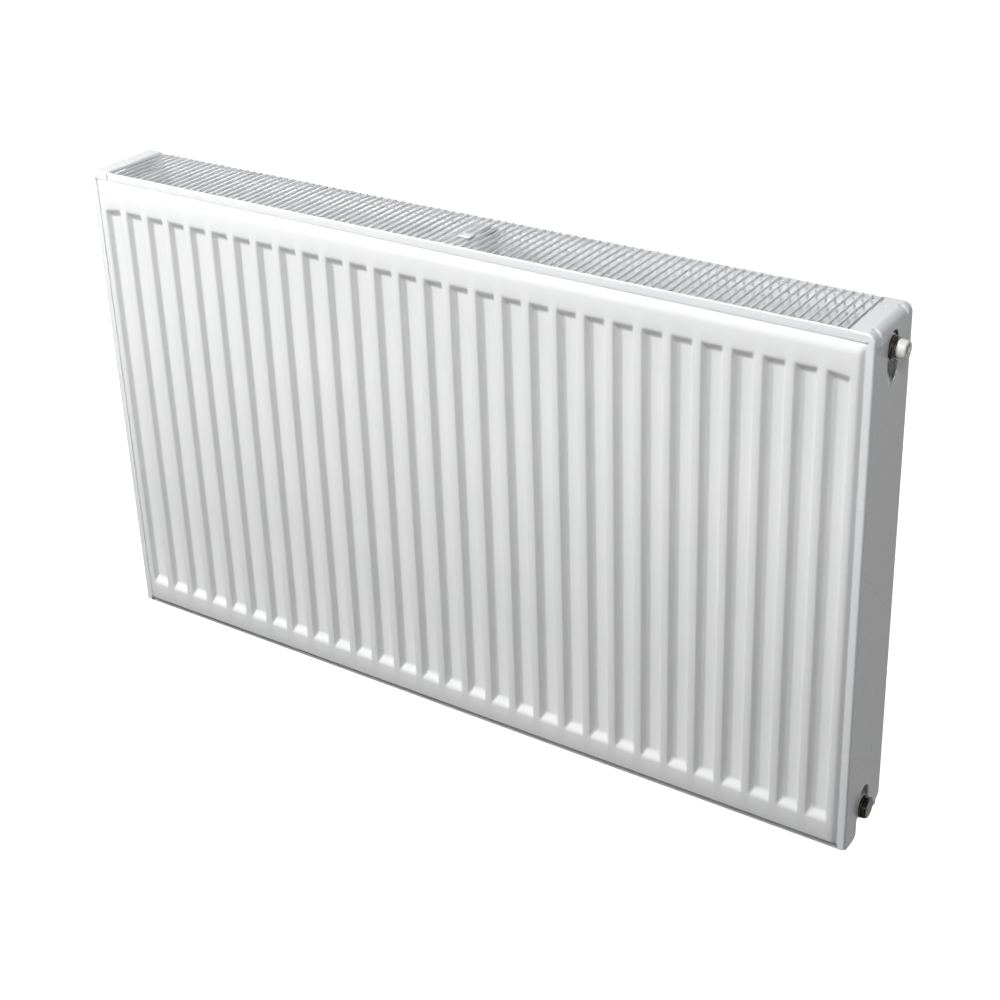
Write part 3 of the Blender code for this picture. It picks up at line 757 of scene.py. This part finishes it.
def grille_blades(name):
    """All blades: shallow bars from lip to lip, with rounded top edges."""
    low_y, high_y = GRILLE_LOW.y + LIP_INSET + LIP_SHEET, GRILLE_HIGH.y - LIP_INSET - LIP_SHEET
    low, high, half = BLADE_LOW, HEIGHT - 0.25 * MM, BLADE / 2
    corners = [(-half, low), (half, low), (half, high), (-half, high)]
    outline = rounded(corners, [0.25 * MM, 0.25 * MM, 0.55 * MM, 0.55 * MM], 4)
    shape = bmesh.new()
    for index in range(BLADES):
        x = FIRST_BLADE + index * BLADE_SPACING
        first = [shape.verts.new((x + px, low_y, pz)) for px, pz in outline]
        second = [shape.verts.new((x + px, high_y, pz)) for px, pz in outline]
        for step in range(len(outline)):
            after = (step + 1) % len(outline)
            shape.faces.new([first[step], first[after], second[after], second[step]])
        shape.faces.new(first)
        shape.faces.new(list(reversed(second)))
    bmesh.ops.recalc_face_normals(shape, faces=shape.faces)
    return linked(shape, name)


TAB_X = (16 * MM, 30 * MM)
TAB_Y = (28 * MM, 40 * MM)


def grille_tab(name):
    """The small folded tab that stands on the blades at the middle of the grille."""
    low_y, high_y, top = FRONT_Y + TAB_Y[0], FRONT_Y + TAB_Y[1], GRILLE_HIGH.z
    line = [(high_y - CASING, HEIGHT - MM), (high_y - CASING, top - CASING), (low_y, top - CASING)]
    line += [(low_y, top), (high_y, top), (high_y, HEIGHT - MM)]
    radii = [0.2 * MM, 0.4 * MM, 0.5 * MM, 0.5 * MM, 1.5 * MM, 0.2 * MM]
    tab = prism(name, rounded(line, radii, 5), 0, *TAB_X)
    soften(tab, 0.3 * MM, 3, 50)
    return tab


def make_grille():
    piece(grille_lip("grille_front_lip", -1), CASING_ENAMEL, "top_grille", STEEL_SLOT, "top_grille")
    piece(grille_lip("grille_rear_lip", 1), CASING_ENAMEL, "top_grille", STEEL_SLOT)
    piece(grille_blades("grille_blades"), CASING_ENAMEL, "top_grille", STEEL_SLOT)
    piece(grille_tab("grille_tab"), CASING_ENAMEL, "top_grille", STEEL_SLOT)


def make_clip():
    """The folded bridge under the middle of the grille, with the slot that the grille's tab clips into."""
    low, high = CLIP_LOW, CLIP_HIGH
    line = [(low.y, low.z), (low.y, high.z), (high.y, high.z), (high.y, low.z), (high.y - CASING, low.z)]
    line += [(high.y - CASING, high.z - CASING), (low.y + CASING, high.z - CASING), (low.y + CASING, low.z)]
    end_edge, outer, inner = 0.2 * MM, 2.4 * MM, 1.2 * MM
    radii = [end_edge, outer, outer, end_edge, end_edge, inner, inner, end_edge]
    bridge = prism("clip_bridge", rounded(line, radii, 5), 0, low.x, high.x)
    start, end = high.x - 5.5 * MM, high.x - 1.8 * MM
    front, back = FRONT_Y + 56 * MM, FRONT_Y + 79 * MM
    corners = [(start, front), (end, front), (end, back), (start, back)]
    slot = prism("slot", rounded(corners, [MM] * 4, 4), 2, high.z - 2 * CASING, high.z + CASING)
    combined(bridge, "DIFFERENCE", slot)
    planed(bridge)
    soften(bridge, 0.2 * MM, 2, 50)
    piece(bridge, CASING_ENAMEL, "radiator", STEEL_SLOT, "grille_clip", flat=True)


# ------------------------------------------------------------------ hanging lugs


def lug(node):
    """Strap bent over one valley, with rounded bends, softened edges and two feet."""
    low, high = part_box(node)
    x = (low.x + high.x) / 2
    reach = (high.x - low.x) / 2
    thick = 3 * MM
    half = 15.2 * MM
    back, foot = high.y, low.y
    corners = [(-reach, foot), (-half + thick, foot), (-half + thick, back - thick)]
    corners += [(half - thick, back - thick), (half - thick, foot), (reach, foot)]
    corners += [(reach, foot + thick), (half, foot + thick), (half, back)]
    corners += [(-half, back), (-half, foot + thick), (-reach, foot + thick)]
    small, inner, outer = 0.4 * MM, 0.9 * MM, 2.2 * MM
    radii = [small, small, inner, inner, small, small, small, inner, outer, outer, inner, small]
    outline = [(x + px, py) for px, py in rounded(corners, radii, 5)]
    strap = prism(node + "_strap", outline, 2, low.z, high.z)
    soften(strap, 0.5 * MM, 3, 50)
    piece(strap, ENAMEL, "radiator", STEEL_SLOT, node)


# ------------------------------------------------------------------ plugs and air vent

SPIGOT_RADIUS = 10.1 * MM
COLLAR_RADIUS = 12.4 * MM
HEXAGON_WIDTH = 22 * MM
SEAL_GAP = 0.3 * MM


def plug_profile(start, collar, inner, neck):
    """The outline of a plug's spigot and collar, from the radius called inner to the one called neck."""
    profile = [(start, inner), (start, 9.2 * MM), (start + MM, SPIGOT_RADIUS), (collar, SPIGOT_RADIUS)]
    profile += [(collar, COLLAR_RADIUS), (collar + 0.9 * MM, COLLAR_RADIUS)]
    return profile + [(collar + 1.1 * MM, COLLAR_RADIUS - 0.3 * MM), (collar + 1.1 * MM, neck)]


def hexagon(name, start, end, across, level, chamfer):
    """Hexagon bar along X with its outer corners turned to a chamfer."""
    corner = across / 2 / math.cos(math.pi / 6)
    bar = rod(name, (start, MIDDLE_Y, level), (end, MIDDLE_Y, level), corner, 6)
    cut = [(start - MM, 0), (start - MM, corner + MM), (end - chamfer, corner + MM * 0.4)]
    cut += [(end, corner - chamfer * 1.7), (end, 0)]
    turned = lathe("turned", cut, (0, MIDDLE_Y, level), 96)
    combined(bar, "INTERSECT", turned)
    soften(bar, 0.22 * MM, 2, 25)
    return applied(bar)


def blanking_plug():
    low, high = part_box("blanking_plug")
    level = PORT_LEVELS["bottom"]
    seal_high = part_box("blanking_plug_seal")[1].x
    collar = seal_high + SEAL_GAP
    body = lathe("blanking_plug_turned", plug_profile(low.x, collar, 0, 0), (0, MIDDLE_Y, level))
    piece(body, NICKEL, "radiator", "nickel_plated_brass", "blanking_plug")
    head = hexagon("blanking_plug_hexagon", collar + MM, high.x, HEXAGON_WIDTH, level, 1.4 * MM)
    # The hexagon takes the nearly black nickel, whose colour holds a painted dark reflection.
    piece(head, NEAR_BLACK_NICKEL_PAINTED_REFLECTION, "radiator", "nickel_plated_brass", sharp=25)


def vent_plug():
    low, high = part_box("vent_plug")
    level = PORT_LEVELS["top"]
    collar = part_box("vent_plug_seal")[1].x + SEAL_GAP
    nozzle_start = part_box("vent_nozzle")[0].x
    neck, seat, passage = 5.2 * MM, 3.4 * MM, 1.5 * MM
    profile = plug_profile(low.x, collar, passage, neck)
    profile += [(high.x, neck), (high.x, seat), (collar, seat), (collar, passage)]
    body = lathe("vent_plug_turned", profile, (0, MIDDLE_Y, level))
    piece(body, NICKEL, "radiator", "nickel_plated_brass", "vent_plug")
    head = hexagon("vent_plug_hexagon", collar + MM, nozzle_start - 0.3 * MM, HEXAGON_WIDTH, level, MM)
    hole = rod("hole", (collar, MIDDLE_Y, level), (high.x, MIDDLE_Y, level), 5 * MM)
    combined(head, "DIFFERENCE", hole)
    piece(head, NICKEL, "radiator", "nickel_plated_brass", sharp=25)


def vent_nozzle():
    """White ring with a rounded rim, a recessed end and a small outlet."""
    low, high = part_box("vent_nozzle")
    level = PORT_LEVELS["top"]
    start, end = low.x, high.x
    corners = [(start, 5.5 * MM), (start, 9.6 * MM), (start + 2.2 * MM, 10 * MM), (end - 1.2 * MM, 9.7 * MM)]
    corners += [(end, 8.6 * MM), (end, 5.9 * MM), (end - 1.7 * MM, 5.5 * MM)]
    radii = [0.2 * MM, 0.7 * MM, 0.8 * MM, 1.2 * MM, 0.9 * MM, 0.5 * MM, 0.2 * MM]
    ring = lathe("vent_nozzle_ring", rounded(corners, radii, 4), (0, MIDDLE_Y, level), 72)
    x = (start + end) / 2
    outlet = rod("outlet", (x, MIDDLE_Y, level - 6 * MM), (x, MIDDLE_Y, level - 12 * MM), 1.3 * MM, 24)
    combined(ring, "DIFFERENCE", outlet)
    soften(ring, 0.12 * MM, 2, 50)
    piece(ring, PLASTIC, "vent_nozzle", "white_plastic", "vent_nozzle")


def bleed_screw():
    """Brass screw with a square key end and a driver slot."""
    low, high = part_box("bleed_screw")
    level = PORT_LEVELS["top"]
    head_end = high.x - 2.8 * MM
    corners = [(low.x, 0), (low.x + 2 * MM, 3 * MM), (head_end, 3 * MM), (head_end, 0)]
    outline = rounded(corners, [0, 0.2 * MM, 0.3 * MM, 0], 3)
    stem = lathe("bleed_screw_stem", outline, (0, MIDDLE_Y, level), 48)
    half = 1.7 * MM
    square = [(MIDDLE_Y - half, level - half), (MIDDLE_Y + half, level - half)]
    square += [(MIDDLE_Y + half, level + half), (MIDDLE_Y - half, level + half)]
    key = prism("key", square, 0, head_end - half, high.x)
    slot_line = [(MIDDLE_Y - 0.4 * MM, level - 3 * MM), (MIDDLE_Y + 0.4 * MM, level - 3 * MM)]
    slot_line += [(MIDDLE_Y + 0.4 * MM, level + 3 * MM), (MIDDLE_Y - 0.4 * MM, level + 3 * MM)]
    slot = prism("slot", slot_line, 0, high.x - 1.2 * MM, high.x + MM)
    combined(stem, "UNION", key)
    combined(stem, "DIFFERENCE", slot)
    soften(stem, 0.15 * MM, 2, 30)
    piece(stem, BRASS, "bleed_screw", "brass", "bleed_screw")


def seal(node, level):
    low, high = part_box(node)
    wire = (high.x - low.x) / 2
    middle = (low.x + high.x) / 2
    radius = (high.z - low.z) / 2 - wire
    ring = lathe(node + "_ring", arc((middle, radius), wire, 0, 345, 23), (0, MIDDLE_Y, level), 64)
    piece(ring, RUBBER, "radiator", "seal_rubber", node)


# ------------------------------------------------------------------ the object

make_panels()
convector("front_fins", FRONT_Y + PANEL + 0.3 * MM, 1, "front_convector")
convector("rear_fins", REAR_Y - PANEL - 0.3 * MM, -1, "rear_convector")
for place, port_level in PORT_LEVELS.items():
    tee(place + "_left_tee", -1, port_level, True)
    tee(place + "_right_tee", 1, port_level, False)
side_panel("left_side_panel", -1)
side_panel("right_side_panel", 1)
make_grille()
make_clip()
for place in ("upper_left", "upper_right", "lower_left", "lower_right"):
    lug(place + "_lug")
vent_plug()
vent_nozzle()
bleed_screw()
blanking_plug()
seal("vent_plug_seal", PORT_LEVELS["top"])
seal("blanking_plug_seal", PORT_LEVELS["bottom"])


# ------------------------------------------------------------------ floor, light and camera


def floor():
    """Pale studio floor, below the radiator as if it hung on a wall, rising all round far away."""
    drop, reach, bend, sides = -0.35, 9.0, 3.0, 96
    profile = [(0, drop), (2.0, drop), (reach - bend, drop)]
    profile += arc((reach - bend, drop + bend), bend, -90, 0, 16)[1:]
    profile += [(reach, drop + 9.0)]

    def place(i, j):
        angle = 2 * math.pi * i / sides
        return Vector((profile[j][0] * math.cos(angle), profile[j][0] * math.sin(angle), profile[j][1]))

    shape = grid(sides + 1, len(profile), place)
    bmesh.ops.remove_doubles(shape, verts=shape.verts, dist=0.1 * MM)
    facing(shape, (0, 0, 1))
    obj = linked(shape, "studio_floor")
    made, nodes, links, shader = node_material("pale_paper")
    coordinates = nodes.new("ShaderNodeTexCoord").outputs["Object"]
    clouds = noise(nodes, links, coordinates, 0.8, 2)
    tone = blend_colours(nodes, links, clouds, (0.93, 0.93, 0.93), (0.95, 0.95, 0.95))
    links.new(tone, shader.inputs["Base Color"])
    shader.inputs["Roughness"].default_value = 0.9
    shader.inputs["Specular IOR Level"].default_value = 0.1
    shader.inputs["Emission Color"].default_value = (1, 1, 1, 1)
    shader.inputs["Emission Strength"].default_value = 0.9
    obj.data.materials.append(made)
    obj.data.shade_smooth()
    obj.visible_diffuse = False
    obj.visible_glossy = False
    obj.visible_shadow = False


def area_light(name, place, aim, size, power):
    data = bpy.data.lights.new(name, "AREA")
    data.shape = "RECTANGLE"
    data.size, data.size_y = size
    data.energy = power
    lamp = bpy.data.objects.new(name, data)
    lamp.location = place
    lamp.rotation_mode = "QUATERNION"
    lamp.rotation_quaternion = (Vector(aim) - Vector(place)).to_track_quat("-Z", "Y")
    bpy.context.scene.collection.objects.link(lamp)


def world_light(behind, left, below):
    """Soft light of a white room: from behind, from the left, and a little from below."""
    world = bpy.data.worlds.new("studio")
    world.use_nodes = True
    nodes, links = world.node_tree.nodes, world.node_tree.links
    split = nodes.new("ShaderNodeSeparateXYZ")
    links.new(nodes.new("ShaderNodeTexCoord").outputs["Generated"], split.inputs["Vector"])
    total = None
    sources = (("Y", 0.1, 0.6, behind), ("X", -0.1, -0.6, left), ("Z", 0.1, -0.1, below))
    for axis, start, end, strength in sources:
        part = nodes.new("ShaderNodeMapRange")
        part.inputs["From Min"].default_value = start
        part.inputs["From Max"].default_value = end
        part.inputs["To Max"].default_value = strength
        links.new(split.outputs[axis], part.inputs["Value"])
        if total is None:
            total = part.outputs["Result"]
            continue
        added = nodes.new("ShaderNodeMath")
        links.new(total, added.inputs[0])
        links.new(part.outputs["Result"], added.inputs[1])
        total = added.outputs["Value"]
    background = nodes["Background"]
    background.inputs["Color"].default_value = (1, 1, 1, 1)
    links.new(total, background.inputs["Strength"])
    bpy.context.scene.world = world


def lamp_from(name, turn, raised, distance, size, power):
    """A square lamp aimed at the radiator: turn is 0 in front and grows to the right, in degrees."""
    aim = Vector((0, MIDDLE_Y, HEIGHT / 2))
    turn, raised = math.radians(turn), math.radians(raised)
    way = Vector((math.sin(turn) * math.cos(raised), -math.cos(turn) * math.cos(raised), math.sin(raised)))
    area_light(name, aim + way * distance, aim, (size, size), power)


def camera():
    """The main view: from the right, above and in front."""
    turn, raised, roll = math.radians(31.52), math.radians(24.51), math.radians(-0.84)
    ahead = Vector((-math.sin(turn) * math.cos(raised), math.cos(turn) * math.cos(raised), -math.sin(raised)))
    level_right = Vector((math.cos(turn), math.sin(turn), 0))
    level_up = level_right.cross(ahead)
    right = level_right * math.cos(roll) + level_up * math.sin(roll)
    up = level_up * math.cos(roll) - level_right * math.sin(roll)
    data = bpy.data.cameras.new("camera")
    data.sensor_width = 36
    data.lens = 63.03
    data.shift_x = -0.08
    data.shift_y = -0.14
    data.clip_end = 100
    eye = bpy.data.objects.new("camera", data)
    eye.matrix_world = Matrix.Translation((1.0364, FRONT_Y - 1.3925, 1.25)) @ Matrix(
        (right, up, -ahead)
    ).transposed().to_4x4()
    bpy.context.scene.collection.objects.link(eye)
    bpy.context.scene.camera = eye


floor()
world_light(0.46, 0.05, 0.07)
lamp_from("key", -15, 58, 3.0, 0.12, 42)
lamp_from("left_key", -46, 34, 1.8, 0.15, 18)
lamp_from("front_key", 0, 40, 3.0, 0.15, 7)
lamp_from("right_fill", 28, 28, 2.2, 1.2, 8.5)
lamp_from("right_key", 45, 42, 2.0, 0.15, 5.8)
camera()
bpy.context.scene.view_settings.view_transform = "Standard"
